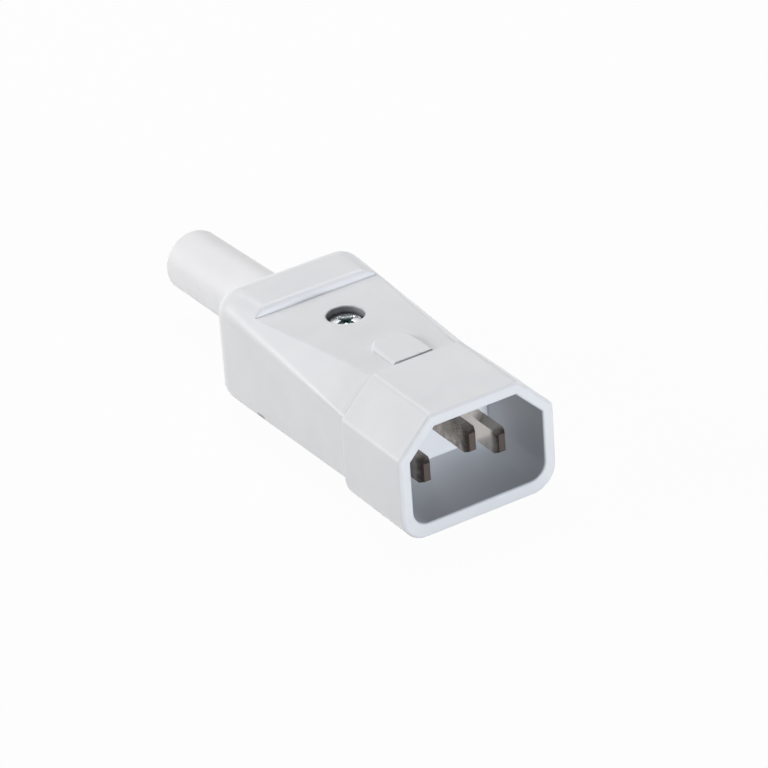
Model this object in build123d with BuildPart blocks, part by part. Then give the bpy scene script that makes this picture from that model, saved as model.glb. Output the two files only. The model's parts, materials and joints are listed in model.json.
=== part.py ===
from build123d import *
import os
from math import cos, radians, sin, sqrt

# A rewirable inline power plug with three flat pins in a keyed mouth, in millimetres.
# The rim of the mouth is the plane y = 0 and faces -Y, the cord sleeve points to +Y, and +Z is up.
# The origin is the centre of the mouth.

# Mouth and the collar around it
mouth_width = 24.5
mouth_height = 16.5
mouth_depth = 15.8
mouth_shoulder = 4.75
mouth_corner = 2.8
side_wall = 2.05
top_wall = 2.1
bottom_wall = 2.5
collar_length = 16.7
collar_shoulder = 6.2
collar_corner = 4.4
collar_edge_round = 1.3
rim_edge = 0.35
mouth_edge = 0.2
collar_back_edge = 0.25

# Pins: flat blades, with a drilled clamp block behind each
blade_thickness = 2.0
blade_height = 4.0
blade_tip_inset = 0.42
blade_tip_length = 1.0
pole_spacing = 14.0
pole_drop = 2.0
earth_rise = 2.0
pole_recess = 3.9
earth_recess = 1.4
block_width = 5.0
block_height = 6.0
block_length = 8.0
block_edge = 0.3
wire_hole = 3.0
wire_hole_depth = 6.5

# Hood: the rear body, over which the collar stands proud on all sides
seam = 0.3
collar_lip_side = 0.8
collar_lip_top = 0.5
collar_lip_bottom = 1.05
hood_length = 40.1
hood_taper = 0.05
hood_fall = 0.95
hood_wall = 1.8
rear_wall = 3.6
shoulder_front = 5.7
shoulder_rear = 2.6
shoulder_front_round = 0.9
hood_round = 4.2
cap_length = 4.6
step_set = 11.6
step_depth = 1.35
step_run = 0.25
step_round = 1.0
pad_width = 7.3
pad_length = 8.3
pad_corner = 2.8
pad_edge = 0.35

# Cord sleeve: a soft tube that hangs a little at its tip, held like a grommet in the hood's rear wall
sleeve_length = 28.8
sleeve_diameter = 11.1
sleeve_rise = -0.65
sleeve_droop = 2.3
sleeve_tip_edge = 0.7
sleeve_seat = 0.3
cord_bore = 8.0
neck_wall = 0.8
flange_thickness = 1.6
flange_gap = 0.3

# Contact carrier behind the collar
spigot_length = 3.8
key_width = 4.8
key_height = 1.45
key_length = 4.3
rib_gap = 0.3
rib_lap = 1.0
post_diameter = 6.6

# Hood screw
hood_screw_set = 8.65
hood_screw_hole = 6.4
hood_screw_recess = 0.95
hood_screw_head = 5.6
hood_screw_head_height = 1.8
hood_screw_shank = 3.0
hood_screw_length = 9.5
boss_wall = 1.5
boss_floor = 1.5

# Terminal screws
terminal_head = 4.6
terminal_head_height = 1.3
terminal_shank = 2.9
terminal_reach = 0.4

# Cord clamp: a bridge screwed down on two pillars
cord_diameter = 6.2
saddle_web = 0.35
saddle_lip = 1.0
clamp_set = 3.7
clamp_inset = 0.25
clamp_width = 5.0
clamp_thickness = 1.5
clamp_ear = 5.6
clamp_gap = 0.8
clamp_head = 4.8
clamp_head_height = 1.5
clamp_shank = 2.9
clamp_length = 6.0

# Clearances, screw drives and small edge breaks
fit = 0.04
slip = 0.15
slot_width = 0.8
slot_depth = 0.8
cross_reach = 3.6
cross_turn = 25
screw_room = 0.6

# Levels and places that follow from the sizes above
collar_width = mouth_width + 2 * side_wall
collar_top = mouth_height / 2 + top_wall
collar_bottom = -mouth_height / 2 - bottom_wall
carrier_back = collar_length + spigot_length
hood_front = collar_length + seam
hood_rear = hood_front + hood_length
hood_top = collar_top - collar_lip_top
hood_bottom = collar_bottom + collar_lip_bottom
hood_rear_bottom = hood_bottom - hood_fall
hood_front_width = collar_width - 2 * collar_lip_side
hood_rear_width = hood_front_width - 2 * hood_taper
shoulder_end = hood_rear - cap_length
step_y = hood_rear - step_set
slope_fall = step_depth / (step_y - hood_front)
inner_shoulder_front = shoulder_front - hood_wall * (2 - sqrt(2))
inner_shoulder_rear = shoulder_rear - hood_wall * (2 - sqrt(2))
cavity_corner = hood_round - hood_wall
cavity_front_width = hood_front_width - 2 * hood_wall
cavity_rear_width = hood_rear_width - 2 * hood_wall
cavity_top = hood_top - hood_wall
cavity_bottom = hood_bottom + hood_wall
cavity_end = hood_rear - rear_wall
cavity_end_top = cavity_top - slope_fall * (cavity_end - hood_front)
spigot_top = cavity_top - slope_fall * (carrier_back - hood_front) - slip
key_top = spigot_top + key_height
neck_diameter = cord_bore + 2 * neck_wall
flange_radius = min(cavity_end_top - sleeve_rise, sleeve_rise - cavity_bottom) - slip
flange_back = cavity_end - fit
flange_front = flange_back - flange_thickness
tail_width = cavity_rear_width - 2 * slip
tail_bottom = cavity_bottom + slip
tail_end = flange_front - flange_gap
floor_top = -pole_drop - block_height / 2 - fit
block_back = carrier_back + block_length
terminal_y = block_back - wire_hole_depth / 2
screw_y = step_y - hood_screw_set
screw_mouth = hood_top - slope_fall * (screw_y - hood_front)
screw_seat = screw_mouth - hood_screw_recess - hood_screw_head_height
boss_bottom = screw_seat - boss_floor
droop = radians(sleeve_droop)
sleeve_axis = Plane(
    (0, hood_rear - sleeve_seat, sleeve_rise), x_dir=(1, 0, 0), z_dir=(0, cos(droop), -sin(droop))
)
clamp_x = (tail_width - clamp_ear) / 2 - clamp_inset
clamp_y = tail_end - clamp_set - clamp_width / 2
clamp_places = [(-clamp_x, clamp_y), (clamp_x, clamp_y)]
grip_height = floor_top + saddle_web + cord_diameter / 2
pillar_top = grip_height + clamp_gap
ear_top = pillar_top + clamp_thickness
pin_places = {
    "line": (-pole_spacing / 2, -pole_drop, pole_recess),
    "neutral": (pole_spacing / 2, -pole_drop, pole_recess),
    "earth": (0, earth_rise, earth_recess),
}
upward = (Align.CENTER, Align.CENTER, Align.MIN)
downward = (Align.CENTER, Align.CENTER, Align.MAX)
standing = (Align.CENTER, Align.MIN)


def across(y):
    """The plane across the plug at a distance behind the rim, with X to the right and Z up."""
    return Plane.XZ.offset(-y)


def shouldered(y, width, top, bottom, shoulder, shoulder_round, corner_round):
    """Sketch across the plug: flat top, sloped shoulders, straight sides and rounded lower corners."""
    half = width / 2
    with BuildSketch(across(y)) as section:
        with BuildLine():
            Polyline(
                (-half, bottom),
                (half, bottom),
                (half, top - shoulder),
                (half - shoulder, top),
                (-half + shoulder, top),
                (-half, top - shoulder),
                close=True,
            )
        make_face()
        fillet(section.vertices().sort_by(Axis.Y)[:2], corner_round)
        if shoulder_round:
            fillet(section.vertices().sort_by(Axis.Y)[-4:], shoulder_round)
    return section.sketch


def inner_shoulder(side):
    """The plane of one shoulder inside the hood, facing up and out: -1 for the left side, 1 for the right."""
    front = Vector(side * (cavity_front_width / 2 - inner_shoulder_front), hood_front, cavity_top)
    rear = Vector(side * (cavity_rear_width / 2 - inner_shoulder_rear), cavity_end, cavity_end_top)
    down_and_out = Vector(side, 0, -1)
    return Plane(front, x_dir=down_and_out, z_dir=down_and_out.cross(rear - front) * side)


def pin(x, z, recess):
    """A flat blade with a chamfered tip, and a clamp block behind it that is drilled for the wire."""
    with BuildPart() as blade:
        with BuildSketch(across(recess)):
            with Locations((x, z)):
                Rectangle(blade_thickness, blade_height)
        extrude(amount=recess - carrier_back)
        tip = blade.faces().sort_by(Axis.Y)[0]
        chamfer(tip.edges(), blade_tip_inset, blade_tip_length, reference=tip)
        with BuildSketch(across(carrier_back)):
            with Locations((x, z)):
                Rectangle(block_width, block_height)
        extrude(amount=-block_length)
        chamfer(blade.faces().sort_by(Axis.Y)[-1].edges(), block_edge)
        with BuildSketch(across(block_back)):
            with Locations((x, z)):
                Circle(wire_hole / 2)
        extrude(amount=wire_hole_depth, mode=Mode.SUBTRACT)
        with Locations((x, terminal_y, z + block_height / 2)):
            Hole(terminal_shank / 2 + fit, depth=block_height / 2)
    return blade.part


def screw(x, y, seat, head, head_height, shank, length, reach, turns):
    """A screw that points down, its head on a seat, with one slot across the head for each turn."""
    with BuildPart() as fastener:
        with Locations((x, y, seat)):
            Cylinder(head / 2, head_height, align=upward)
            Cylinder(shank / 2, length, align=downward)
        for turn in turns:
            with Locations(Location((x, y, seat + head_height), (0, 0, turn))):
                Box(reach, slot_width, 2 * slot_depth, mode=Mode.SUBTRACT)
    return fastener.part


def write(part, name):
    """Label one finished piece and write its file."""
    part.label = name
    export_step(part, f"parts/{name}.step")


os.makedirs("parts", exist_ok=True)

# Contact carrier: collar, mouth, and the tail that holds the terminals and the cord
with BuildPart() as contact_carrier:
    collar = shouldered(
        0, collar_width, collar_top, collar_bottom, collar_shoulder, collar_edge_round, collar_corner
    )
    extrude(collar, amount=-collar_length)
    chamfer(contact_carrier.faces().sort_by(Axis.Y)[0].edges(), rim_edge)
    chamfer(contact_carrier.faces().sort_by(Axis.Y)[-1].edges(), collar_back_edge)
    spigot = shouldered(
        collar_length,
        cavity_front_width - 2 * slip,
        spigot_top,
        tail_bottom,
        inner_shoulder_front,
        shoulder_front_round,
        cavity_corner,
    )
    extrude(spigot, amount=-spigot_length)
    # Key on top of the spigot, which enters the pocket under the hood's pad
    with BuildSketch(across(collar_length)):
        with Locations((0, spigot_top)):
            Rectangle(key_width, 2 * key_height)
    extrude(amount=-key_length)
    # Floor of the tail, which reaches back to the sleeve's flange
    with BuildSketch(across(carrier_back)) as floor:
        with Locations((0, tail_bottom)):
            Rectangle(tail_width, floor_top - tail_bottom, align=standing)
        fillet(floor.vertices().sort_by(Axis.Y)[:2], cavity_corner)
    extrude(amount=carrier_back - tail_end)
    # Ribs between the clamp blocks
    rib = pole_spacing / 2 - block_width - 2 * rib_gap
    with BuildSketch(across(carrier_back)):
        with Locations((-pole_spacing / 4, floor_top), (pole_spacing / 4, floor_top)):
            Rectangle(rib, earth_rise + block_height / 2 - floor_top, align=standing)
    extrude(amount=-block_length - rib_lap)
    # Seat under the earth block
    with BuildSketch(across(carrier_back)):
        with Locations((0, floor_top)):
            Rectangle(block_width, earth_rise + pole_drop, align=standing)
    extrude(amount=-block_length)
    # Post for the hood screw, pillars and saddle for the cord
    with Locations((0, screw_y, floor_top)):
        Cylinder(post_diameter / 2, boss_bottom - fit - floor_top, align=upward)
    with BuildSketch(Plane.XY.offset(floor_top)):
        with Locations(clamp_places):
            Rectangle(clamp_ear, clamp_width)
    extrude(amount=pillar_top - floor_top)
    with BuildSketch(Plane.XY.offset(floor_top)):
        with Locations((0, clamp_y)):
            Rectangle(cord_diameter + 2 * saddle_lip, clamp_width)
    extrude(amount=saddle_web + cord_diameter / 4)
    with BuildSketch(across(clamp_y - clamp_width)):
        with Locations((0, grip_height)):
            Circle(cord_diameter / 2)
    extrude(amount=-2 * clamp_width, mode=Mode.SUBTRACT)
    # Mouth
    mouth = shouldered(
        0, mouth_width, mouth_height / 2, -mouth_height / 2, mouth_shoulder, 0, mouth_corner
    )
    extrude(mouth, amount=-mouth_depth, mode=Mode.SUBTRACT)
    chamfer(contact_carrier.faces().sort_by(Axis.Y)[0].inner_wires()[0].edges(), mouth_edge)
    # Slots that grip the blades
    with BuildSketch(across(mouth_depth)):
        with Locations([(x, z) for x, z, recess in pin_places.values()]):
            Rectangle(blade_thickness + 2 * fit, blade_height + 2 * fit)
    extrude(amount=mouth_depth - carrier_back, mode=Mode.SUBTRACT)
    # Screw holes
    with Locations((0, screw_y, boss_bottom)):
        post_hole = hood_screw_length + screw_room - boss_floor
        Hole(hood_screw_shank / 2 + fit, depth=post_hole)
    with Locations([(x, y, pillar_top) for x, y in clamp_places]):
        Hole(clamp_shank / 2 + fit, depth=clamp_length + screw_room - clamp_thickness)
write(contact_carrier.part, "contact_carrier")

# Inside of the hood: tapered sides, a sloping top, and shoulders that fade like the outer ones
with BuildPart() as hood_inside:
    with BuildSketch(Plane.XY.offset(cavity_bottom)):
        with BuildLine():
            Polyline(
                (-cavity_front_width / 2, hood_front),
                (cavity_front_width / 2, hood_front),
                (cavity_rear_width / 2, cavity_end),
                (-cavity_rear_width / 2, cavity_end),
                close=True,
            )
        make_face()
    extrude(amount=cavity_top - cavity_bottom)
    sides = hood_inside.faces().sort_by(Axis.X)
    lower_edges = [side.edges().sort_by(Axis.Z)[0] for side in (sides[0], sides[-1])]
    fillet(lower_edges, cavity_corner)
    split(
        bisect_by=Plane((0, hood_front, cavity_top), x_dir=(1, 0, 0), z_dir=(0, slope_fall, 1)),
        keep=Keep.BOTTOM,
    )
    for side in (-1, 1):
        split(bisect_by=inner_shoulder(side), keep=Keep.BOTTOM)

# Hood
with BuildPart() as rear_hood:
    front_section = shouldered(
        hood_front,
        hood_front_width,
        hood_top,
        hood_bottom,
        shoulder_front,
        shoulder_front_round,
        hood_round,
    )
    rear_section = shouldered(
        shoulder_end,
        hood_rear_width,
        hood_top,
        hood_rear_bottom,
        shoulder_rear,
        hood_round,
        hood_round,
    )
    loft([front_section, rear_section], ruled=True)
    extrude(rear_section, amount=shoulder_end - hood_rear)
    fillet(rear_hood.faces().sort_by(Axis.Y)[-1].edges(), hood_round)
    # Top that falls to a step with a soft upper edge
    with BuildSketch(Plane.YZ) as fall:
        with BuildLine():
            Polyline(
                (hood_front, hood_top),
                (step_y, hood_top - step_depth),
                (step_y + step_run, hood_top),
                (step_y + step_run + step_round, hood_top),
                (step_y + step_run + step_round, hood_top + step_depth),
                (hood_front, hood_top + step_depth),
                close=True,
            )
        make_face()
        fillet(fall.vertices().sort_by_distance((step_y + step_run, hood_top))[0], step_round)
    extrude(amount=hood_front_width / 2, both=True, mode=Mode.SUBTRACT)
    # Pad that carries the collar's top on over the seam
    with BuildSketch(Plane.XY.offset(cavity_top)) as pad:
        with Locations((0, hood_front)):
            Rectangle(pad_width, pad_length, align=standing)
        fillet(pad.vertices().sort_by(Axis.Y)[-2:], pad_corner)
    extrude(amount=collar_top - cavity_top)
    pad_edges = rear_hood.faces().sort_by(Axis.Z)[-1].edges()
    chamfer(pad_edges.sort_by(Axis.Y)[1:], pad_edge)
    add(hood_inside.part, mode=Mode.SUBTRACT)
    # Pocket for the carrier's key
    with BuildSketch(across(hood_front)):
        with Locations((0, cavity_end_top)):
            Rectangle(key_width + 2 * slip, key_top + slip - cavity_end_top, align=standing)
    extrude(amount=seam - key_length - slip, mode=Mode.SUBTRACT)
    # Hole and round seat for the cord sleeve
    with BuildSketch(across(hood_rear)):
        with Locations((0, sleeve_rise)):
            Circle(neck_diameter / 2 + fit)
    extrude(amount=2 * rear_wall, mode=Mode.SUBTRACT)
    with BuildSketch(sleeve_axis):
        Circle(sleeve_diameter / 2 + fit)
    extrude(amount=rear_wall, mode=Mode.SUBTRACT)
    # Boss and hole for the hood screw
    with Locations((0, screw_y, boss_bottom)):
        boss_height = screw_mouth - hood_wall / 2 - boss_bottom
        Cylinder(hood_screw_hole / 2 + boss_wall, boss_height, align=upward)
    with Locations((0, screw_y, hood_top)):
        CounterBoreHole(
            radius=hood_screw_shank / 2 + slip,
            counter_bore_radius=hood_screw_hole / 2,
            counter_bore_depth=hood_top - screw_seat,
            depth=hood_top - boss_bottom,
        )
write(rear_hood.part, "rear_hood")

# Cord sleeve: a drooping tube in its seat, with a neck through the hood's wall and a flange inside
with BuildPart() as cord_sleeve:
    with Locations(sleeve_axis.offset(fit)):
        Cylinder(sleeve_diameter / 2, sleeve_length, align=upward)
    chamfer(cord_sleeve.edges().sort_by(Axis.Y)[-1], sleeve_tip_edge)
    with BuildSketch(across(flange_front)):
        with Locations((0, sleeve_rise)):
            Circle(neck_diameter / 2)
    extrude(amount=flange_front - hood_rear)
    with BuildSketch(across(flange_front)):
        with Locations((0, sleeve_rise)):
            Circle(flange_radius)
    extrude(amount=-flange_thickness)
    with Locations(sleeve_axis):
        Cylinder(cord_bore / 2, 2 * sleeve_length + 4 * rear_wall, mode=Mode.SUBTRACT)
write(cord_sleeve.part, "cord_sleeve")

# Pins and their terminal screws
for name, (x, z, recess) in pin_places.items():
    write(pin(x, z, recess), f"{name}_pin")
    terminal_screw = screw(
        x,
        terminal_y,
        z + block_height / 2,
        terminal_head,
        terminal_head_height,
        terminal_shank,
        block_height / 2 + terminal_reach,
        terminal_head,
        [0],
    )
    write(terminal_screw, f"{name}_terminal_screw")

# Cord clamp: a bridge over the cord with an ear on each pillar
with BuildPart() as cord_clamp:
    with BuildSketch(across(clamp_y - clamp_width / 2)):
        with Locations((0, grip_height)):
            Circle(cord_diameter / 2 + clamp_thickness)
        with Locations((0, pillar_top)):
            Rectangle(2 * clamp_x + clamp_ear, clamp_thickness, align=standing)
        with Locations((0, grip_height)):
            Circle(cord_diameter / 2, mode=Mode.SUBTRACT)
        with Locations((0, pillar_top)):
            below = cord_diameter + clamp_thickness
            Rectangle(2 * below, below, align=(Align.CENTER, Align.MAX), mode=Mode.SUBTRACT)
    extrude(amount=-clamp_width)
    with Locations([(x, y, ear_top) for x, y in clamp_places]):
        Hole(clamp_shank / 2 + slip, depth=clamp_thickness)
write(cord_clamp.part, "cord_clamp")

# Screws of the clamp and of the hood
for side, (x, y) in zip(("left", "right"), clamp_places):
    clamp_screw = screw(
        x, y, ear_top, clamp_head, clamp_head_height, clamp_shank, clamp_length, clamp_head, [0]
    )
    write(clamp_screw, f"{side}_clamp_screw")
hood_screw = screw(
    0,
    screw_y,
    screw_seat,
    hood_screw_head,
    hood_screw_head_height,
    hood_screw_shank,
    hood_screw_length,
    cross_reach,
    [cross_turn, cross_turn + 90],
)
write(hood_screw, "hood_screw")
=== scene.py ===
"""Finishes, threaded screws, a cord sleeve and a small studio for a white rewirable power plug.

Everything is in metres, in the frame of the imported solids: X across the plug, Y from the mouth
to the sleeve, Z up.
"""

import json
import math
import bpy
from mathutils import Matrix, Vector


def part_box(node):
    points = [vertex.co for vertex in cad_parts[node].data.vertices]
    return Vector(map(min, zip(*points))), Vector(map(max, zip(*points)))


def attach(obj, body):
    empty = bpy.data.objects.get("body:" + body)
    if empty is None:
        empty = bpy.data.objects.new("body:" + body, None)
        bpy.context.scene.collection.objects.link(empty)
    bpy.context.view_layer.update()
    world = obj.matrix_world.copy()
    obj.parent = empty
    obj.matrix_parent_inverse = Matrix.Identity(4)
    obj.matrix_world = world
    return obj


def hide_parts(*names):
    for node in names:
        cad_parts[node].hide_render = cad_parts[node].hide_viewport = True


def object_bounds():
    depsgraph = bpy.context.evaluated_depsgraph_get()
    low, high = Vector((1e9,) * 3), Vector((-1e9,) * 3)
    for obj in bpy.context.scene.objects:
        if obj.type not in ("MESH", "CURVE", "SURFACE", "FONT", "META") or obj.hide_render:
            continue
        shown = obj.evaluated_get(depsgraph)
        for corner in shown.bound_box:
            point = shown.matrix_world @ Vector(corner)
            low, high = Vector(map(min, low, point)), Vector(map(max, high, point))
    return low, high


bl_info = {
    "name": "Rewirable power plug",
    "version": (1, 0, 0),
    "blender": (4, 5, 0),
    "location": "3D View > Sidebar > Plug",
    "description": "Finishes, threaded screws, a cord sleeve and a studio "
    "for a white rewirable power plug",
    "category": "Object",
}

import bpy
import numpy as np
from bpy.props import FloatProperty, FloatVectorProperty, IntProperty, PointerProperty
from mathutils import Matrix, Vector

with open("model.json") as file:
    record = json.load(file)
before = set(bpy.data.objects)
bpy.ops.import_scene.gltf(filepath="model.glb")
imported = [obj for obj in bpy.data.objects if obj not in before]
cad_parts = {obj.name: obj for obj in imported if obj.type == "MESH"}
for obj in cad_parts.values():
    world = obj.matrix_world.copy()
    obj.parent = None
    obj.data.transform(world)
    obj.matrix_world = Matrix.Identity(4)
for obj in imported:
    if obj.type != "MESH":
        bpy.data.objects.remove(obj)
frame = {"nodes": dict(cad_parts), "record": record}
cad_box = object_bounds()

MM = 0.001
BODY = "root"
SHARP_ANGLE = math.radians(38)
FLOAT = "NodeSocketFloat"
VECTOR = "NodeSocketVector"
WHITE = (1.0, 1.0, 1.0)

nodes = frame["nodes"]
mounts = frame["record"]["mounts"]
cord_entry = next(mount for mount in mounts if mount["name"] == "cord_entry")
hood_low, hood_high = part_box("rear_hood")
sleeve_low, sleeve_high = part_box("cord_sleeve")

PIN_NODES = ("line_pin", "neutral_pin", "earth_pin")
# Each screw's kind, which gives its head height, its shank and its drive
SCREW_KINDS = {
    "hood_screw": "hood",
    "line_terminal_screw": "terminal",
    "neutral_terminal_screw": "terminal",
    "earth_terminal_screw": "terminal",
    "left_clamp_screw": "clamp",
    "right_clamp_screw": "clamp",
}
HEAD_HEIGHTS = {"hood": 1.8 * MM, "terminal": 1.3 * MM, "clamp": 1.5 * MM}
SHANK_RADII = {"hood": 1.5 * MM, "terminal": 1.45 * MM, "clamp": 1.45 * MM}

# Rings on a screw head's top, on its rounded edge and down its side
TOP_ROWS = 41
EDGE_ROWS = 7
SIDE_ROWS = 5
# Rings along the sleeve's tube and over each of its rounded edges
TUBE_ROWS = 25
ROUND_ROWS = 9
# Shares of its width and of its depth that an arm of the cross recess loses on the way out
CROSS_TAPER = 0.35
CROSS_RISE = 0.5

# Ranges of a noise, or of a drive's depth, over which a mask goes from 0 to 1
CLOUD_RANGE = (0.3, 0.7)
SMUDGE_RANGE = (0.42, 0.68)
STAIN_RANGE = (0.35, 0.7)
TARNISH_RANGE = (0.2, 1.0)
DRIVE_SHADE_RANGE = (0.15, 0.6)
# How far the roughness goes to either side of its setting
PLASTIC_SPREAD = (-0.03, 0.06)
NICKEL_SPREAD = (-0.05, 0.2)
ZINC_SPREAD = (-0.04, 0.1)
# Strength of the grain's bump, and depth and strength of the drawn lines on pins and screws
GRAIN_STRENGTH = 0.5
PIN_LINES = (0.004 * MM, 0.6)
SCREW_LINES = (0.003 * MM, 0.4)
# Stretch that draws a noise out along Y, share of the stains in the tarnish, tone of stained zinc
DRAWN_STRETCH = (1.0, 0.04, 1.0)
STAIN_SHARE = 0.3
STAINED_ZINC = 0.8

# The dark mark: its middle, the stretch of the distance from it, its raggedness and its soft edge
DARK_MARK_PLACE = (hood_low.x + 0.43 * MM, 43.6 * MM, hood_low.z + 2.36 * MM)
DARK_MARK_STRETCH = (1.0, 0.7, 1.0)
DARK_MARK_RAGGED = 1.6 * MM
DARK_MARK_EDGE = (1.25 * MM, 1.85 * MM)
# The painted shade on the wall of the screw hole: its soft edges outside the wall, at the rim and
# at the lower end
HOLE_WALL = (0.02 * MM, 0.1 * MM)
HOLE_RIM = (-0.2 * MM, 0.05 * MM)
HOLE_END = (0.0, 1.0 * MM)
# Depths below the top between which the painted shade and painted highlight on the sides fade out
SIDE_FADE = (2.5 * MM, 0.8 * MM)

FLOOR_HALF = 2.0
FLOOR_GAP = 0.02 * MM
SENSOR_WIDTH = 36.0
# Each lamp's place in lamp distances, its width and its height
LAMPS = {
    "top": ((0.2, 0.45, 0.9), 0.6, 0.6),
    "front": ((0.04, -1.0, 0.1), 0.16, 0.07),
    "left": ((-0.85, 0.48, 0.33), 0.5, 0.35),
    "right": ((0.9, 0.2, 0.4), 0.5, 0.5),
}


# Settings

def length_of(label, description, size):
    """A length that a user may change, in metres."""
    return FloatProperty(
        name=label, description=description, default=size, min=0.0, unit="LENGTH", precision=5
    )


def share_of(label, description, share):
    """A share between 0 and 1."""
    return FloatProperty(
        name=label, description=description, default=share, min=0.0, max=1.0, subtype="FACTOR"
    )


def colour_of(label, description, colour):
    """A linear colour."""
    return FloatVectorProperty(
        name=label,
        description=description,
        default=colour,
        size=3,
        min=0.0,
        max=1.0,
        subtype="COLOR",
    )


def angle_of(label, description, degrees):
    """An angle, written here in degrees."""
    return FloatProperty(
        name=label, description=description, default=math.radians(degrees), subtype="ANGLE"
    )


def power_of(label, description, watts):
    """The power of one lamp."""
    return FloatProperty(name=label, description=description, default=watts, min=0.0, unit="POWER")


def count_of(label, description, count, least):
    """A number of points or rows."""
    return IntProperty(name=label, description=description, default=count, min=least)


class PlugPlastic(bpy.types.PropertyGroup):
    """Finish of the white mouldings and of the soft sleeve."""

    colour: colour_of(
        "Moulding", "Colour of the collar, the hood and the clamp", (0.79, 0.795, 0.81)
    )
    shade: colour_of("Moulding shade", "Colour of the faint flow clouds", (0.755, 0.76, 0.778))
    roughness: share_of("Moulding roughness", "Roughness of the moulded skin", 0.34)
    sleeve_colour: colour_of("Sleeve", "Colour of the soft sleeve", (0.855, 0.855, 0.865))
    sleeve_shade: colour_of(
        "Sleeve shade", "Colour of the sleeve's faint clouds", (0.825, 0.825, 0.84)
    )
    sleeve_roughness: share_of("Sleeve roughness", "Roughness of the soft skin", 0.5)
    grain_size: length_of("Grain size", "Size of the fine skin of the mould", 0.22 * MM)
    grain_depth: length_of("Grain depth", "Depth of the fine skin of the mould", 0.004 * MM)
    cloud_size: length_of("Cloud size", "Size of the faint clouds", 9 * MM)
    edge_radius: length_of("Edge radius", "Radius of the softening on moulded edges", 0.45 * MM)
    # A dark mark on the hood's lower left edge
    dark_mark_colour: colour_of(
        "Dark mark", "Colour of the dark mark on the hood's lower left edge", (0.2, 0.19, 0.19)
    )
    dark_mark_grain: length_of("Scuff grain", "Size of the ragged edges of the dark mark", 0.9 * MM)
    # Painted shade on the wall of the screw hole
    hole_shade_colour: colour_of(
        "Hole shade", "Colour of the painted shade on the wall of the screw hole", (0.26, 0.26, 0.275)
    )
    hole_radius: length_of("Hole radius", "Radius of the screw hole", 3.2 * MM)
    hole_rise: length_of("Hole rise", "How far the painted shade rises above the screw's head", 0.7 * MM)
    # Painted light: a paler tone along the foot of the step
    crease_light_colour: colour_of(
        "Crease light", "Painted light along the foot of the step", (0.88, 0.885, 0.91)
    )
    crease_y: length_of("Crease place", "Distance from the rim to the foot of the step", 45.5 * MM)
    crease_z: length_of("Crease height", "Height of the foot of the step", 8.5 * MM)
    crease_reach: length_of("Crease reach", "How far that colour reaches from the foot", 0.3 * MM)
    # Painted shade along the hood's front edge, behind the collar
    joint_shade_colour: colour_of(
        "Joint shade", "Colour of the painted shade along the hood's front edge", (0.7, 0.7, 0.715)
    )
    joint_reach: length_of("Joint reach", "How far the painted shade reaches from that edge", 1.3 * MM)
    # Painted highlight along the collar's back edge
    edge_highlight_colour: colour_of(
        "Edge highlight", "Colour of the painted highlight on the collar's back edge", (0.92, 0.92, 0.93)
    )
    edge_y: length_of(
        "Edge highlight place", "Distance from the rim to the collar's back edge", 16.7 * MM
    )
    edge_reach: length_of("Edge highlight reach", "Width of the painted highlight on the collar's back edge", 0.6 * MM)
    # Painted shade on the walls inside the mouth, greyer and cooler than the moulding
    mouth_shade_colour: colour_of("Mouth shade", "Painted shade on the walls inside the mouth", (0.67, 0.7, 0.735))
    mouth_shade_depth: length_of(
        "Lining depth", "Distance from the axis at which a wall has that colour", 6 * MM
    )


class PlugMetal(bpy.types.PropertyGroup):
    """Finish of the plated pins and screws."""

    nickel: colour_of("Nickel", "Colour of the clean plating on the pins", (0.67, 0.6, 0.53))
    tarnish: colour_of(
        "Tarnish", "Colour of the dull plating at the tips of the pins", (0.09, 0.07, 0.062)
    )
    line_dull: share_of("Line pin", "Share of dull plating along the line pin", 0.5)
    neutral_dull: share_of("Neutral pin", "Share of dull plating along the neutral pin", 0.02)
    earth_dull: share_of("Earth pin", "Share of dull plating along the earth pin", 0.36)
    nickel_roughness: share_of("Nickel roughness", "Roughness of the plating on the pins", 0.22)
    tarnish_metal: share_of("Tarnish metal", "How metallic the dull plating still is", 0.6)
    tarnish_reach: length_of(
        "Tarnish reach", "How far the dull plating reaches from a tip", 1.9 * MM
    )
    zinc: colour_of("Zinc", "Colour of the plating on the screws", (0.74, 0.76, 0.77))
    # Painted shade, dark teal, at the bottom of a screw's drive
    drive_shade: colour_of(
        "Drive shade", "Colour at the bottom of a screw's drive", (0.085, 0.135, 0.135)
    )
    zinc_roughness: share_of("Zinc roughness", "Roughness of the plating on the screws", 0.24)
    stain_size: length_of("Stain size", "Size of the blotches in the plating", 1.6 * MM)
    line_size: length_of("Line size", "Distance between the fine drawn lines", 0.12 * MM)


class PlugScrews(bpy.types.PropertyGroup):
    """Sizes of the threads and of the drives in the heads."""

    pitch: length_of("Pitch", "Distance between two turns of the thread", 0.5 * MM)
    thread_depth: length_of("Thread depth", "Depth of the thread below its crest", 0.24 * MM)
    crown: length_of("Crown", "Height of the dome on the head", 0.25 * MM)
    edge: length_of("Edge round", "Round of the head's upper edge", 0.35 * MM)
    cross_reach: length_of("Cross reach", "Length of one arm of the cross recess", 1.85 * MM)
    cross_width: length_of(
        "Cross width", "Width of an arm at the middle of the cross recess", 1.3 * MM
    )
    cross_depth: length_of("Cross depth", "Depth of the cross recess", 1.15 * MM)
    cross_turn: angle_of("Cross turn", "Turn of the cross recess about the screw", 14)
    slot_width: length_of("Slot width", "Width of a slot", 0.8 * MM)
    slot_depth: length_of("Slot depth", "Depth of a slot", 0.75 * MM)
    wall: length_of("Drive wall", "Run of the steep walls of a drive", 0.1 * MM)
    columns: count_of("Columns", "Points round a screw", 144, 24)
    turns_rows: count_of("Rows in a turn", "Rows in one turn of thread", 8, 4)


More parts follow.
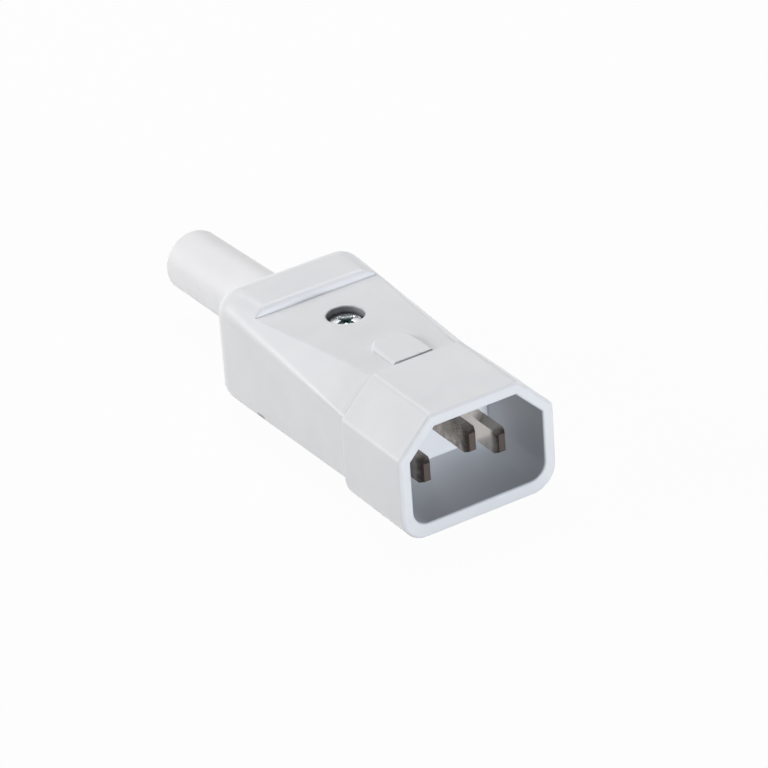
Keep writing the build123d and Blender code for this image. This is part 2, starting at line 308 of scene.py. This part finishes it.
class PlugSleeve(bpy.types.PropertyGroup):
    """Sizes of the cord sleeve."""

    root_radius: length_of("Root radius", "Outer radius in the hood's seat", 5.55 * MM)
    tip_radius: length_of("Tip radius", "Outer radius at the tip", 5.4 * MM)
    bore_radius: length_of(
        "Bore radius", "Radius of the cord's hole", cord_entry["dims"]["r_mm"] * MM
    )
    neck_radius: length_of("Neck radius", "Outer radius in the hood's wall", 4.8 * MM)
    flange_radius: length_of(
        "Flange radius", "Radius of the flange inside", (sleeve_high.x - sleeve_low.x) / 2
    )
    flange_thickness: length_of("Flange thickness", "Thickness of the flange inside", 1.6 * MM)
    seat: length_of("Seat", "Depth of the seat in the hood's rear face", 0.26 * MM)
    length: length_of("Length", "Length from the seat to the tip", 28.8 * MM)
    tip_round: length_of("Tip round", "Round of the tip's outer edge", 0.75 * MM)
    lip_round: length_of("Lip round", "Round of the tip's inner edge", 0.3 * MM)
    columns: count_of("Columns", "Points round the sleeve", 160, 24)


class PlugStudio(bpy.types.PropertyGroup):
    """Lamps, floor and camera."""

    top_power: power_of("Top lamp", "Soft lamp above", 6.0)
    front_power: power_of("Front lamp", "Low lamp in front of the mouth", 7.9)
    left_power: power_of("Left lamp", "Soft lamp on the left", 6.9)
    right_power: power_of("Right lamp", "Soft lamp on the right", 1.7)
    front_tint: colour_of("Front tint", "Colour of the front lamp", (0.90, 0.94, 1.0))
    ambient: share_of("Ambient", "Strength of the light from all round", 0.03)
    floor_tone: share_of("Floor tone", "How much light the floor gives back", 0.6)
    shadow_share: share_of(
        "Shadow share", "Share of the floor's own shading that the camera sees", 0.035
    )
    lamp_distance: length_of("Lamp distance", "Distance of the lamps", 1.0)
    azimuth: angle_of("Azimuth", "The camera's turn round the plug", -30.841)
    elevation: angle_of("Elevation", "The camera's angle above the floor", 30.107)
    roll: angle_of("Roll", "The camera's turn about its own axis", -4.184)
    distance: length_of("Distance", "Distance from the camera to its target", 744.283 * MM)
    target_y: length_of("Target", "How far behind the rim the camera's target is", 30 * MM)
    lens: FloatProperty(name="Lens", description="Focal length", default=220.08, unit="CAMERA")
    shift_x: FloatProperty(
        name="Shift X", description="Sideways shift of the frame", default=0.015
    )
    shift_y: FloatProperty(
        name="Shift Y", description="Upward shift of the frame", default=-0.00505
    )


# Meshes

def ring_quads(rows, columns, closed):
    """Quads between each ring of a grid and the next; closed joins the last ring to the first."""
    ring = np.arange(rows if closed else rows - 1)[:, None]
    place = np.arange(columns)[None, :]
    here = ring * columns
    there = (ring + 1) % rows * columns
    after = (place + 1) % columns
    corners = np.broadcast_arrays(here + place, here + after, there + after, there + place)
    return np.stack(corners, axis=-1).reshape(-1, 4)


def pole_triangles(rows, columns):
    """Triangles from a grid's first and last ring to two poles, which follow the grid's points."""
    place = np.arange(columns)
    after = (place + 1) % columns
    last = (rows - 1) * columns
    pole = np.full(columns, rows * columns)
    first_fan = np.stack([pole, after, place], axis=-1)
    last_fan = np.stack([pole + 1, last + place, last + after], axis=-1)
    return np.concatenate([first_fan, last_fan])


def signed_volume(points, quads):
    """Volume inside a closed grid of quads, below zero if the quads face inwards."""
    a, b, c, d = (points[quads[:, corner]] for corner in range(4))
    return float(np.sum(a * np.cross(b, c)) + np.sum(a * np.cross(c, d))) / 6


def surface_piece(name, grid, poles=None):
    """A smooth closed object from a grid of points (rings, places, xyz).

    The grid has a pole at each end, or else its last ring joins its first.
    """
    rows, columns = grid.shape[:2]
    points = grid.reshape(-1, 3)
    quads = ring_quads(rows, columns, closed=poles is None)
    faces = [quads]
    if poles is not None:
        faces.append(pole_triangles(rows, columns))
    if signed_volume(points, quads) < 0:
        faces = [face[:, ::-1] for face in faces]
    if poles is not None:
        points = np.concatenate([points, poles])
    mesh = bpy.data.meshes.new(name)
    mesh.from_pydata(points.tolist(), [], [face for kind in faces for face in kind.tolist()])
    mesh.polygons.foreach_set("use_smooth", np.ones(len(mesh.polygons), dtype=bool))
    mesh.set_sharp_from_angle(angle=SHARP_ANGLE)
    mesh.validate()
    piece = bpy.data.objects.new(name, mesh)
    bpy.context.scene.collection.objects.link(piece)
    return piece


def dress(piece, material, node):
    """Give a new piece its material and its body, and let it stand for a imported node."""
    piece.data.materials.append(material)
    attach(piece, BODY)
    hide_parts(node)


def cross_depth(x, y, sizes):
    """Depth of the cross recess: arms that narrow and grow shallow outwards, with steep walls."""
    turn = sizes.cross_turn
    u = np.abs(x * math.cos(turn) + y * math.sin(turn))
    v = np.abs(y * math.cos(turn) - x * math.sin(turn))
    along = np.maximum(u, v)
    aside = np.minimum(u, v)
    outward = np.clip(along / sizes.cross_reach, 0, 1)
    half_width = sizes.cross_width / 2 * (1 - CROSS_TAPER * outward)
    inside = np.clip((half_width - aside) / sizes.wall, 0, 1)
    inside *= np.clip((sizes.cross_reach - along) / sizes.wall, 0, 1)
    return sizes.cross_depth * (1 - CROSS_RISE * outward) * inside


def slot_depth(x, y, sizes):
    """Depth of a slot right across the head, with steep walls: the same at every x."""
    return sizes.slot_depth * np.clip((sizes.slot_width / 2 - np.abs(y)) / sizes.wall, 0, 1)


def screw_grid(sizes, drive, head_radius, head_height, shank_radius, length):
    """Points of a screw about its axis, and the depth of its drive at each point.

    A point is (r cos a, r sin a, z). The angle a goes once round, and the rings run from the
    middle of the head's top over its edge to the tip. On the head's top, z is a parabolic dome
    less the depth of the drive. On the shank, r is the crest's radius less the thread's depth
    times a triangle wave of z / pitch + a / full turn.
    """
    angle = np.linspace(0, 2 * math.pi, sizes.columns, endpoint=False)[None, :]
    flat = head_radius - sizes.edge
    rim_height = head_height - sizes.crown
    bend = np.linspace(0, math.pi / 2, EDGE_ROWS)[1:, None]
    top_radius = np.linspace(0, flat, TOP_ROWS)[1:, None]
    top_height = rim_height + sizes.crown * (1 - (top_radius / flat) ** 2)
    crown_radius = np.concatenate([top_radius, flat + sizes.edge * np.sin(bend)])
    crown_height = np.concatenate([top_height, rim_height - sizes.edge * (1 - np.cos(bend))])
    depth = drive(crown_radius * np.cos(angle), crown_radius * np.sin(angle), sizes)
    crown_height = crown_height - depth

    side_share = np.linspace(1, 0, SIDE_ROWS)[1:, None]
    side_height = crown_height[-1:] * side_share
    side_radius = np.full_like(side_height, head_radius)

    rows = round(sizes.turns_rows * length / sizes.pitch)
    shank_height = np.linspace(0, -length, rows)[:, None]
    wave = np.abs(2 * ((shank_height / sizes.pitch + angle / (2 * math.pi)) % 1) - 1)
    run_out = np.clip(-shank_height / sizes.pitch, 0, 1)
    point = np.clip((length + shank_height) / sizes.pitch, 0, 1)
    shank_radius = shank_radius - sizes.thread_depth * np.maximum(wave * run_out, 1 - point)
    shank_height = np.broadcast_to(shank_height, shank_radius.shape)

    crown_radius = np.broadcast_to(crown_radius, depth.shape)
    radius = np.concatenate([crown_radius, side_radius, shank_radius])
    height = np.concatenate([crown_height, side_height, shank_height])
    grid = np.stack([radius * np.cos(angle), radius * np.sin(angle), height], axis=-1)
    depths = np.zeros(radius.shape)
    depths[: len(depth)] = depth
    return grid, depths


def sleeve_grid(sizes):
    """Points of the cord sleeve: a closed profile carried round its axis.

    A ring is centre + r (cos a X + sin a U). The rings of the tube stand square to the drooping
    axis, and those of the neck and the flange square to Y, so each ring has its own centre,
    radius and tilt.
    """
    axis = np.array(cord_entry["axis"])
    seat_y = hood_high.y - sizes.seat
    entry = np.array(cord_entry["pos_m"])
    seat = entry + axis * (seat_y - entry[1]) / axis[1]
    bend = np.linspace(0, math.pi / 2, ROUND_ROWS)
    tip, lip = sizes.tip_round, sizes.lip_round
    flange_front = sleeve_low.y
    flange_back = flange_front + sizes.flange_thickness

    body = np.linspace(0, sizes.length - tip, TUBE_ROWS)
    body_radius = sizes.root_radius + (sizes.tip_radius - sizes.root_radius) * body / sizes.length
    tip_radius = body_radius[-1]
    bore = np.linspace(sizes.length - lip, (flange_front - seat_y) / axis[1], TUBE_ROWS)
    along = np.concatenate([
        body,
        sizes.length - tip + tip * np.sin(bend),
        sizes.length - lip + lip * np.cos(bend),
        bore,
    ])
    tube_radius = np.concatenate([
        body_radius,
        tip_radius - tip + tip * np.cos(bend),
        sizes.bore_radius + lip - lip * np.sin(bend),
        np.full(bore.shape, sizes.bore_radius),
    ])
    tube_centre = seat + along[:, None] * axis

    straight_y = np.array([flange_front, flange_back, flange_back, seat_y])
    straight_radius = np.repeat([sizes.flange_radius, sizes.neck_radius], 2)
    level = np.full_like(straight_y, seat[2])
    straight_centre = np.stack([np.zeros_like(straight_y), straight_y, level], axis=-1)

    centre = np.concatenate([tube_centre, straight_centre])
    radius = np.concatenate([tube_radius, straight_radius])
    tilted = np.concatenate([np.ones_like(along), np.zeros_like(straight_y)])[:, None]
    up = tilted * np.array([0, -axis[2], axis[1]]) + (1 - tilted) * np.array([0, 0, 1])
    angle = np.linspace(0, 2 * math.pi, sizes.columns, endpoint=False)
    across = np.cos(angle)[None, :, None] * np.array([1.0, 0, 0])
    upward = np.sin(angle)[None, :, None] * up[:, None, :]
    return centre[:, None, :] + radius[:, None, None] * (across + upward)


# Shader nodes

def set_inputs(tree, sockets, inputs):
    """Give each named socket its value, or link it where the value is another node's output."""
    for name, value in inputs.items():
        if isinstance(value, bpy.types.NodeSocket):
            tree.links.new(value, sockets[name])
        else:
            sockets[name].default_value = value


def add_node(tree, kind, inputs=None, **options):
    """Add a node to a tree, set its options, and give its inputs values or links."""
    node = tree.nodes.new(kind)
    for name, value in options.items():
        setattr(node, name, value)
    set_inputs(tree, node.inputs, inputs or {})
    return node


def arithmetic(tree, operation, *values):
    """Result of one operation on numbers or links."""
    inputs = dict(enumerate(values))
    return add_node(tree, "ShaderNodeMath", inputs, operation=operation).outputs[0]


def vector_step(tree, operation, *values):
    """Outputs of one operation on vectors or links."""
    inputs = dict(enumerate(values))
    return add_node(tree, "ShaderNodeVectorMath", inputs, operation=operation).outputs


def mix_colours(tree, share, first, second):
    """Colour that goes from the first to the second as the share goes from 0 to 1."""
    node = add_node(tree, "ShaderNodeMix", data_type="RGBA")
    sockets = {socket.identifier: socket for socket in node.inputs}
    set_inputs(tree, sockets, {"Factor_Float": share, "A_Color": first, "B_Color": second})
    return next(socket for socket in node.outputs if socket.identifier == "Result_Color")


def rescale(tree, value, low, high, to_low=0.0, to_high=1.0):
    """Value carried from one range to another, clamped at the ends."""
    inputs = {
        "Value": value, "From Min": low, "From Max": high, "To Min": to_low, "To Max": to_high
    }
    return add_node(tree, "ShaderNodeMapRange", inputs).outputs["Result"]


def fade(tree, value, start, end):
    """1 up to the start of a range, and 0 from its end."""
    return rescale(tree, value, start, end, 1.0, 0.0)


def spread(tree, share, middle, reach):
    """Value about the middle, from its lower to its upper reach as the share goes from 0 to 1."""
    return rescale(tree, share, 0.0, 1.0, middle + reach[0], middle + reach[1])


def noise(tree, place, scale, detail, distortion=0.0, slice_at=None):
    """Noise at a place, of three dimensions, or a slice of four if one is asked for."""
    inputs = {"Vector": place, "Scale": scale, "Detail": detail, "Distortion": distortion}
    options = {}
    if slice_at is not None:
        inputs["W"] = slice_at
        options["noise_dimensions"] = "4D"
    return add_node(tree, "ShaderNodeTexNoise", inputs, **options).outputs["Fac"]


def piece_place(tree):
    """Place of a point in the piece's own coordinates, which are those of the frame."""
    return tree.nodes.new("ShaderNodeTexCoord").outputs["Object"]


def place_part(tree, place, axis):
    """The X, Y or Z of a place."""
    return add_node(tree, "ShaderNodeSeparateXYZ", {"Vector": place}).outputs[axis]


def distance_from(tree, place, middle, stretch):
    """Distance from a point after the offset along X, Y and Z is multiplied by the stretch."""
    offset = vector_step(tree, "SUBTRACT", place, middle)["Vector"]
    scaled = vector_step(tree, "MULTIPLY", offset, stretch)["Vector"]
    return vector_step(tree, "LENGTH", scaled)["Value"]


def opaque(colour):
    """The colour with its alpha."""
    return (*colour, 1.0)


# Effects that several materials share

def new_group(name, inputs, outputs):
    """An empty shader node group with float inputs, outputs of given kinds, and its end nodes."""
    group = bpy.data.node_groups.new(name, "ShaderNodeTree")
    for label in inputs:
        group.interface.new_socket(label, in_out="INPUT", socket_type=FLOAT)
    for label, kind in outputs.items():
        group.interface.new_socket(label, in_out="OUTPUT", socket_type=kind)
    return group, group.nodes.new("NodeGroupInput").outputs, group.nodes.new("NodeGroupOutput")


def moulded_skin_group():
    """Fine grain of the mould, faint flow clouds, smudges left by fingers, and softened edges."""
    group, start, end = new_group(
        "moulded_skin",
        ("Grain Scale", "Cloud Scale", "Edge Radius"),
        {"Grain": FLOAT, "Cloud": FLOAT, "Smudge": FLOAT, "Soft Normal": VECTOR},
    )
    place = piece_place(group)
    grain = noise(group, place, start["Grain Scale"], detail=2.0)
    pits = add_node(
        group,
        "ShaderNodeTexVoronoi",
        {"Vector": place, "Scale": start["Grain Scale"], "Smoothness": 0.6},
        feature="SMOOTH_F1",
    )
    cloud = noise(group, place, start["Cloud Scale"], detail=3.0, distortion=0.6)
    smudge = noise(group, place, start["Cloud Scale"], detail=5.0, distortion=1.6, slice_at=3.0)
    soft = add_node(group, "ShaderNodeBevel", {"Radius": start["Edge Radius"]}, samples=6)
    set_inputs(group, end.inputs, {
        "Grain": arithmetic(group, "ADD", grain, pits.outputs["Distance"]),
        "Cloud": rescale(group, cloud, *CLOUD_RANGE),
        "Smudge": rescale(group, smudge, *SMUDGE_RANGE),
        "Soft Normal": soft.outputs["Normal"],
    })
    return group


def plated_skin_group():
    """Blotchy stain and fine lines along Y, as on drawn and plated metal."""
    group, start, end = new_group(
        "plated_skin", ("Stain Scale", "Line Scale"), {"Stain": FLOAT, "Lines": FLOAT}
    )
    place = piece_place(group)
    stain = noise(group, place, start["Stain Scale"], detail=4.0, distortion=0.8)
    drawn = add_node(group, "ShaderNodeMapping", {"Vector": place, "Scale": DRAWN_STRETCH})
    lines = noise(group, drawn.outputs["Vector"], start["Line Scale"], detail=2.0)
    set_inputs(group, end.inputs, {"Stain": rescale(group, stain, *STAIN_RANGE), "Lines": lines})
    return group


def put_group(tree, name, build, inputs):
    """A shared node group, built at its first use, placed in a material with its inputs set."""
    shared = bpy.data.node_groups.get(name) or build()
    return add_node(tree, "ShaderNodeGroup", inputs, node_tree=shared)


# Materials

def new_material(name):
    """A material with its shader and the tree to build it in."""
    material = bpy.data.materials.new(name)
    material.use_nodes = True
    tree = material.node_tree
    return material, tree, tree.nodes["Principled BSDF"]


def put_bump(tree, shader, height, depth, strength, normal=None):
    """Bump of that depth in metres under the shader's normal, on top of another if one is given."""
    inputs = {"Height": height, "Distance": depth, "Strength": strength}
    bump = add_node(tree, "ShaderNodeBump", inputs)
    if normal:
        tree.links.new(normal, bump.inputs["Normal"])
    tree.links.new(bump.outputs["Normal"], shader.inputs["Normal"])


def side_band(tree, place, start, end):
    """1 at the start and 0 from the end along Y, on the sides and facets but not on the top."""
    band = fade(tree, place_part(tree, place, "Y"), start, end)
    heights = (cad_box[1].z - depth for depth in SIDE_FADE)
    side = fade(tree, place_part(tree, place, "Z"), *heights)
    return arithmetic(tree, "MULTIPLY", band, side)


def hood_marks(tree, tone, finish):
    """The hood's tone with a dark mark, painted shade in the screw hole, painted light along the
    foot of the step and painted shade along the joint.
    """
    place = piece_place(tree)
    # A dark mark with ragged soft edges on the hood's lower left edge
    far = distance_from(tree, place, DARK_MARK_PLACE, DARK_MARK_STRETCH)
    ragged = noise(tree, place, 1 / finish.dark_mark_grain, detail=3.0)
    far = arithmetic(tree, "MULTIPLY_ADD", ragged, DARK_MARK_RAGGED, far)
    dark_mark_mask = fade(tree, far, *DARK_MARK_EDGE)
    tone = mix_colours(tree, dark_mark_mask, tone, opaque(finish.dark_mark_colour))

    # Painted shade: the wall of the screw hole above the head is darkened
    head_low, head_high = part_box("hood_screw")
    far = distance_from(tree, place, (head_low + head_high) / 2, (1.0, 1.0, 0.0))
    inside = fade(tree, far, *(finish.hole_radius + gap for gap in HOLE_WALL))
    height = place_part(tree, place, "Z")
    rim = head_high.z + finish.hole_rise
    below = fade(tree, height, *(rim + gap for gap in HOLE_RIM))
    above = rescale(tree, height, *HOLE_END)
    depth = arithmetic(tree, "MULTIPLY", below, above)
    hole = arithmetic(tree, "MULTIPLY", inside, depth)
    tone = mix_colours(tree, hole, tone, opaque(finish.hole_shade_colour))

    # Painted light: the foot of the step is made paler than the moulding, against the shade there
    foot = (0.0, finish.crease_y, finish.crease_z)
    far = distance_from(tree, place, foot, (0.0, 1.0, 1.0))
    crease = fade(tree, far, 0.0, finish.crease_reach)
    tone = mix_colours(tree, crease, tone, opaque(finish.crease_light_colour))

    # Painted shade along the hood's front edge, behind the collar
    joint = side_band(tree, place, hood_low.y, hood_low.y + finish.joint_reach)
    return mix_colours(tree, joint, tone, opaque(finish.joint_shade_colour))


def collar_marks(tree, tone, finish):
    """The collar's tone with painted shade on the walls inside the mouth and a painted highlight on
    its back edge.

    The offset from the Y axis, taken along the normal, is below zero on a wall that faces the axis.
    """
    place = piece_place(tree)
    # Painted shade: walls inside the mouth get a greyer, cooler tone
    offset = vector_step(tree, "MULTIPLY", place, (1.0, 0.0, 1.0))["Vector"]
    normal = tree.nodes.new("ShaderNodeNewGeometry").outputs["True Normal"]
    outward = vector_step(tree, "DOT_PRODUCT", offset, normal)["Value"]
    mouth_shade_mask = fade(tree, outward, -finish.mouth_shade_depth, 0.0)
    tone = mix_colours(tree, mouth_shade_mask, tone, opaque(finish.mouth_shade_colour))
    # Painted highlight along the collar's back edge, on its sides and facets
    edge = side_band(tree, place, finish.edge_y, finish.edge_y - finish.edge_reach)
    return mix_colours(tree, edge, tone, opaque(finish.edge_highlight_colour))


def white_plastic(name, colour, shade, roughness, finish, marks=None):
    """White moulded plastic with grain, clouds, smudges and the marks, painted shade and painted
    light that a function adds.
    """
    material, tree, shader = new_material(name)
    scales = {
        "Grain Scale": 1 / finish.grain_size,
        "Cloud Scale": 1 / finish.cloud_size,
        "Edge Radius": finish.edge_radius,
    }
    skin = put_group(tree, "moulded_skin", moulded_skin_group, scales).outputs
    tone = mix_colours(tree, skin["Cloud"], opaque(shade), opaque(colour))
    if marks:
        tone = marks(tree, tone, finish)
    gloss = spread(tree, skin["Smudge"], roughness, PLASTIC_SPREAD)
    set_inputs(tree, shader.inputs, {"Base Color": tone, "Roughness": gloss})
    put_bump(
        tree, shader, skin["Grain"], finish.grain_depth, GRAIN_STRENGTH, skin["Soft Normal"]
    )
    return material


def plated_skin(tree, finish):
    """Outputs of the plating effect placed in a material."""
    scales = {"Stain Scale": 1 / finish.stain_size, "Line Scale": 1 / finish.line_size}
    return put_group(tree, "plated_skin", plated_skin_group, scales).outputs


def nickel_plate(name, tip_y, dullness, finish):
    """Nickel plating with drawn lines and stains, dull near the tip and by a share further on."""
    material, tree, shader = new_material(name)
    skin = plated_skin(tree, finish)
    along = place_part(tree, piece_place(tree), "Y")
    dull = rescale(tree, along, tip_y, tip_y + finish.tarnish_reach, 1.0, dullness)
    patchy = arithmetic(tree, "MULTIPLY_ADD", skin["Stain"], STAIN_SHARE, dull)
    share = rescale(tree, patchy, *TARNISH_RANGE)
    set_inputs(tree, shader.inputs, {
        "Base Color": mix_colours(tree, share, opaque(finish.nickel), opaque(finish.tarnish)),
        "Roughness": spread(tree, share, finish.nickel_roughness, NICKEL_SPREAD),
        "Metallic": rescale(tree, share, 0.0, 1.0, 1.0, finish.tarnish_metal),
    })
    put_bump(tree, shader, skin["Lines"], *PIN_LINES)
    return material


def zinc_plate(name, finish):
    """Bright zinc plating with faint stains, and painted shade in the drive of the head."""
    material, tree, shader = new_material(name)
    skin = plated_skin(tree, finish)
    drive = add_node(tree, "ShaderNodeAttribute", attribute_name="drive_depth").outputs["Fac"]
    dim = tuple(STAINED_ZINC * part for part in finish.zinc)
    tone = mix_colours(tree, skin["Stain"], opaque(finish.zinc), opaque(dim))
    # Painted shade: darker and teal deeper in the drive
    tone = mix_colours(tree, rescale(tree, drive, *DRIVE_SHADE_RANGE), tone, opaque(finish.drive_shade))
    set_inputs(tree, shader.inputs, {
        "Base Color": tone,
        "Roughness": spread(tree, skin["Stain"], finish.zinc_roughness, ZINC_SPREAD),
        "Metallic": 1.0,
    })
    put_bump(tree, shader, skin["Lines"], *SCREW_LINES)
    return material


def seen_rays(tree):
    """1 for the camera's, reflected and refracted rays, 0 for the light that falls on things."""
    path = tree.nodes.new("ShaderNodeLightPath").outputs
    seen = path["Is Camera Ray"]
    for name in ("Is Glossy Ray", "Is Transmission Ray"):
        seen = arithmetic(tree, "MAXIMUM", seen, path[name])
    return seen


def floor_material(settings):
    """White floor: seen rays find white with some of its real shading, other rays the tone."""
    material, tree, shader = new_material("studio_floor")
    tone = settings.floor_tone
    set_inputs(tree, shader.inputs, {
        "Base Color": (tone, tone, tone, 1.0),
        "Roughness": 1.0,
        "Specular IOR Level": 0.0,
    })
    glow = add_node(tree, "ShaderNodeEmission", {"Strength": 1.0})
    share = arithmetic(tree, "MULTIPLY", seen_rays(tree), 1 - settings.shadow_share)
    layers = {0: share, 1: shader.outputs["BSDF"], 2: glow.outputs["Emission"]}
    mix = add_node(tree, "ShaderNodeMixShader", layers)
    tree.links.new(mix.outputs["Shader"], tree.nodes["Material Output"].inputs["Surface"])
    return material


def give_material(node, material):
    """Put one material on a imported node."""
    nodes[node].data.materials.clear()
    nodes[node].data.materials.append(material)


# The marks, painted shade and painted light that each white moulding of the solids carries
MARKS = {"contact_carrier": collar_marks, "rear_hood": hood_marks, "cord_clamp": None}


# Operators

class PLUG_OT_mouldings(bpy.types.Operator):
    """Finish the collar with its carrier, the hood and the cord clamp in white moulded plastic"""

    bl_idname = "plug.mouldings"
    bl_label = "Mouldings"

    def execute(self, context):
        finish = context.scene.plug_plastic
        for node, marks in MARKS.items():
            material = white_plastic(
                f"{node}_white", finish.colour, finish.shade, finish.roughness, finish, marks
            )
            give_material(node, material)
        return {"FINISHED"}


class PLUG_OT_sleeve(bpy.types.Operator):
    """Build the soft cord sleeve with its rounded tip, neck and flange"""

    bl_idname = "plug.sleeve"
    bl_label = "Cord sleeve"

    def execute(self, context):
        finish = context.scene.plug_plastic
        piece = surface_piece("soft_cord_sleeve", sleeve_grid(context.scene.plug_sleeve))
        material = white_plastic(
            "sleeve_white",
            finish.sleeve_colour,
            finish.sleeve_shade,
            finish.sleeve_roughness,
            finish,
        )
        dress(piece, material, "cord_sleeve")
        return {"FINISHED"}


class PLUG_OT_pins(bpy.types.Operator):
    """Plate the three pins with nickel that is dull at the tips"""

    bl_idname = "plug.pins"
    bl_label = "Pins"

    def execute(self, context):
        finish = context.scene.plug_metal
        for node in PIN_NODES:
            tip_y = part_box(node)[0].y
            dullness = getattr(finish, node.replace("pin", "dull"))
            give_material(node, nickel_plate(f"{node}_nickel", tip_y, dullness, finish))
        return {"FINISHED"}


class PLUG_OT_screws(bpy.types.Operator):
    """Build the hood, terminal and clamp screws with threads, domed heads and drives"""

    bl_idname = "plug.screws"
    bl_label = "Screws"

    def execute(self, context):
        sizes = context.scene.plug_screws
        material = zinc_plate("bright_zinc", context.scene.plug_metal)
        for node, kind in SCREW_KINDS.items():
            low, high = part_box(node)
            head_height = HEAD_HEIGHTS[kind]
            length = high.z - low.z - head_height
            if length <= sizes.pitch:
                raise RuntimeError(f"{node} is too short for a thread")
            drive = cross_depth if kind == "hood" else slot_depth
            grid, depths = screw_grid(
                sizes, drive, (high.y - low.y) / 2, head_height, SHANK_RADII[kind], length
            )
            seat = np.array([(low.x + high.x) / 2, (low.y + high.y) / 2, high.z - head_height])
            top = head_height - drive(np.zeros(1), np.zeros(1), sizes)[0]
            poles = seat + np.array([[0, 0, top], [0, 0, -length]])
            piece = surface_piece(f"threaded_{node}", seat + grid, poles)
            depth = piece.data.attributes.new("drive_depth", "FLOAT", "POINT")
            ends = [head_height - top, 0.0]
            shares = np.concatenate([depths.ravel(), ends]) / depths.max()
            depth.data.foreach_set("value", shares)
            dress(piece, material, node)
        return {"FINISHED"}


def add_lamp(name, place, aim, width, height, power, colour):
    """A soft rectangular lamp that looks from its place to its aim."""
    data = bpy.data.lights.new(name, "AREA")
    data.shape = "RECTANGLE"
    data.size = width
    data.size_y = height
    data.energy = power
    data.color = colour
    lamp = bpy.data.objects.new(name, data)
    lamp.location = place
    lamp.rotation_euler = (aim - place).to_track_quat("-Z", "Y").to_euler()
    bpy.context.scene.collection.objects.link(lamp)


class PLUG_OT_stage(bpy.types.Operator):
    """Set up the white floor, the soft lamps, the surroundings and the camera"""

    bl_idname = "plug.stage"
    bl_label = "Studio"

    def execute(self, context):
        scene = context.scene
        settings = scene.plug_studio
        self.add_floor(scene, settings)
        self.add_world(scene, settings)
        self.add_lamps(settings)
        self.add_camera(scene, settings)
        scene.view_settings.view_transform = "Standard"
        return {"FINISHED"}

    def add_floor(self, scene, settings):
        """A wide square just below the plug."""
        half = FLOOR_HALF
        level = cad_box[0].z - FLOOR_GAP
        sides = [(-half, -half), (half, -half), (half, half), (-half, half)]
        mesh = bpy.data.meshes.new("studio_floor")
        mesh.from_pydata([(x, y, level) for x, y in sides], [], [(0, 1, 2, 3)])
        mesh.materials.append(floor_material(settings))
        floor = bpy.data.objects.new("studio_floor", mesh)
        scene.collection.objects.link(floor)

    def add_world(self, scene, settings):
        """White for seen rays, and a weak light from all round for the rest."""
        world = bpy.data.worlds.new("studio")
        world.use_nodes = True
        scene.world = world
        tree = world.node_tree
        strength = rescale(tree, seen_rays(tree), 0.0, 1.0, settings.ambient, 1.0)
        background = tree.nodes["Background"]
        set_inputs(tree, background.inputs, {"Color": opaque(WHITE), "Strength": strength})

    def add_lamps(self, settings):
        """White lamps, and a tinted one in front."""
        aim = Vector((0.0, settings.target_y, 0.0))
        for side, (place, width, height) in LAMPS.items():
            place = settings.lamp_distance * Vector(place)
            power = getattr(settings, f"{side}_power")
            colour = settings.front_tint if side == "front" else WHITE
            add_lamp(f"{side}_lamp", place, aim, width, height, power, colour)

    def add_camera(self, scene, settings):
        """The camera on a sphere about its target, then turned about its own axis."""
        turn, rise, roll = settings.azimuth, settings.elevation, settings.roll
        back = Vector(
            (math.sin(turn) * math.cos(rise), -math.cos(turn) * math.cos(rise), math.sin(rise))
        )
        right = Vector((0, 0, 1)).cross(back).normalized()
        up = back.cross(right)
        across = math.cos(roll) * right + math.sin(roll) * up
        upward = math.cos(roll) * up - math.sin(roll) * right
        place = Vector((0, settings.target_y, 0)) + settings.distance * back
        turned = Matrix((across, upward, back)).transposed().to_4x4()
        data = bpy.data.cameras.new("camera")
        data.sensor_width = SENSOR_WIDTH
        data.lens = settings.lens
        data.shift_x = settings.shift_x
        data.shift_y = settings.shift_y
        camera = bpy.data.objects.new("camera", data)
        camera.matrix_world = Matrix.Translation(place) @ turned
        scene.collection.objects.link(camera)
        scene.camera = camera


class PLUG_PT_sidebar(bpy.types.Panel):
    """Lists the steps that dress the plug and their settings"""

    bl_idname = "PLUG_PT_sidebar"
    bl_label = "Power plug"
    bl_space_type = "VIEW_3D"
    bl_region_type = "UI"
    bl_category = "Plug"

    def draw(self, context):
        layout = self.layout
        for step in STEPS:
            layout.operator(step.bl_idname)
        for name, kind in SETTINGS.items():
            box = layout.box()
            settings = getattr(context.scene, name)
            for label in kind.__annotations__:
                box.prop(settings, label)


SETTINGS = {
    "plug_plastic": PlugPlastic,
    "plug_metal": PlugMetal,
    "plug_screws": PlugScrews,
    "plug_sleeve": PlugSleeve,
    "plug_studio": PlugStudio,
}
STEPS = (PLUG_OT_mouldings, PLUG_OT_sleeve, PLUG_OT_pins, PLUG_OT_screws, PLUG_OT_stage)


def register():
    """Register the settings, the operators and the panel."""
    for name, settings in SETTINGS.items():
        bpy.utils.register_class(settings)
        setattr(bpy.types.Scene, name, PointerProperty(type=settings))
    for step in (*STEPS, PLUG_PT_sidebar):
        bpy.utils.register_class(step)


def unregister():
    """Take everything out again, in the opposite order."""
    for step in reversed((*STEPS, PLUG_PT_sidebar)):
        bpy.utils.unregister_class(step)
    for name, settings in reversed(SETTINGS.items()):
        delattr(bpy.types.Scene, name)
        bpy.utils.unregister_class(settings)


def main():
    """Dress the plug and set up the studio."""
    register()
    bpy.ops.plug.mouldings()
    bpy.ops.plug.sleeve()
    bpy.ops.plug.pins()
    bpy.ops.plug.screws()
    bpy.ops.plug.stage()


if __name__ == "__main__":
    main()
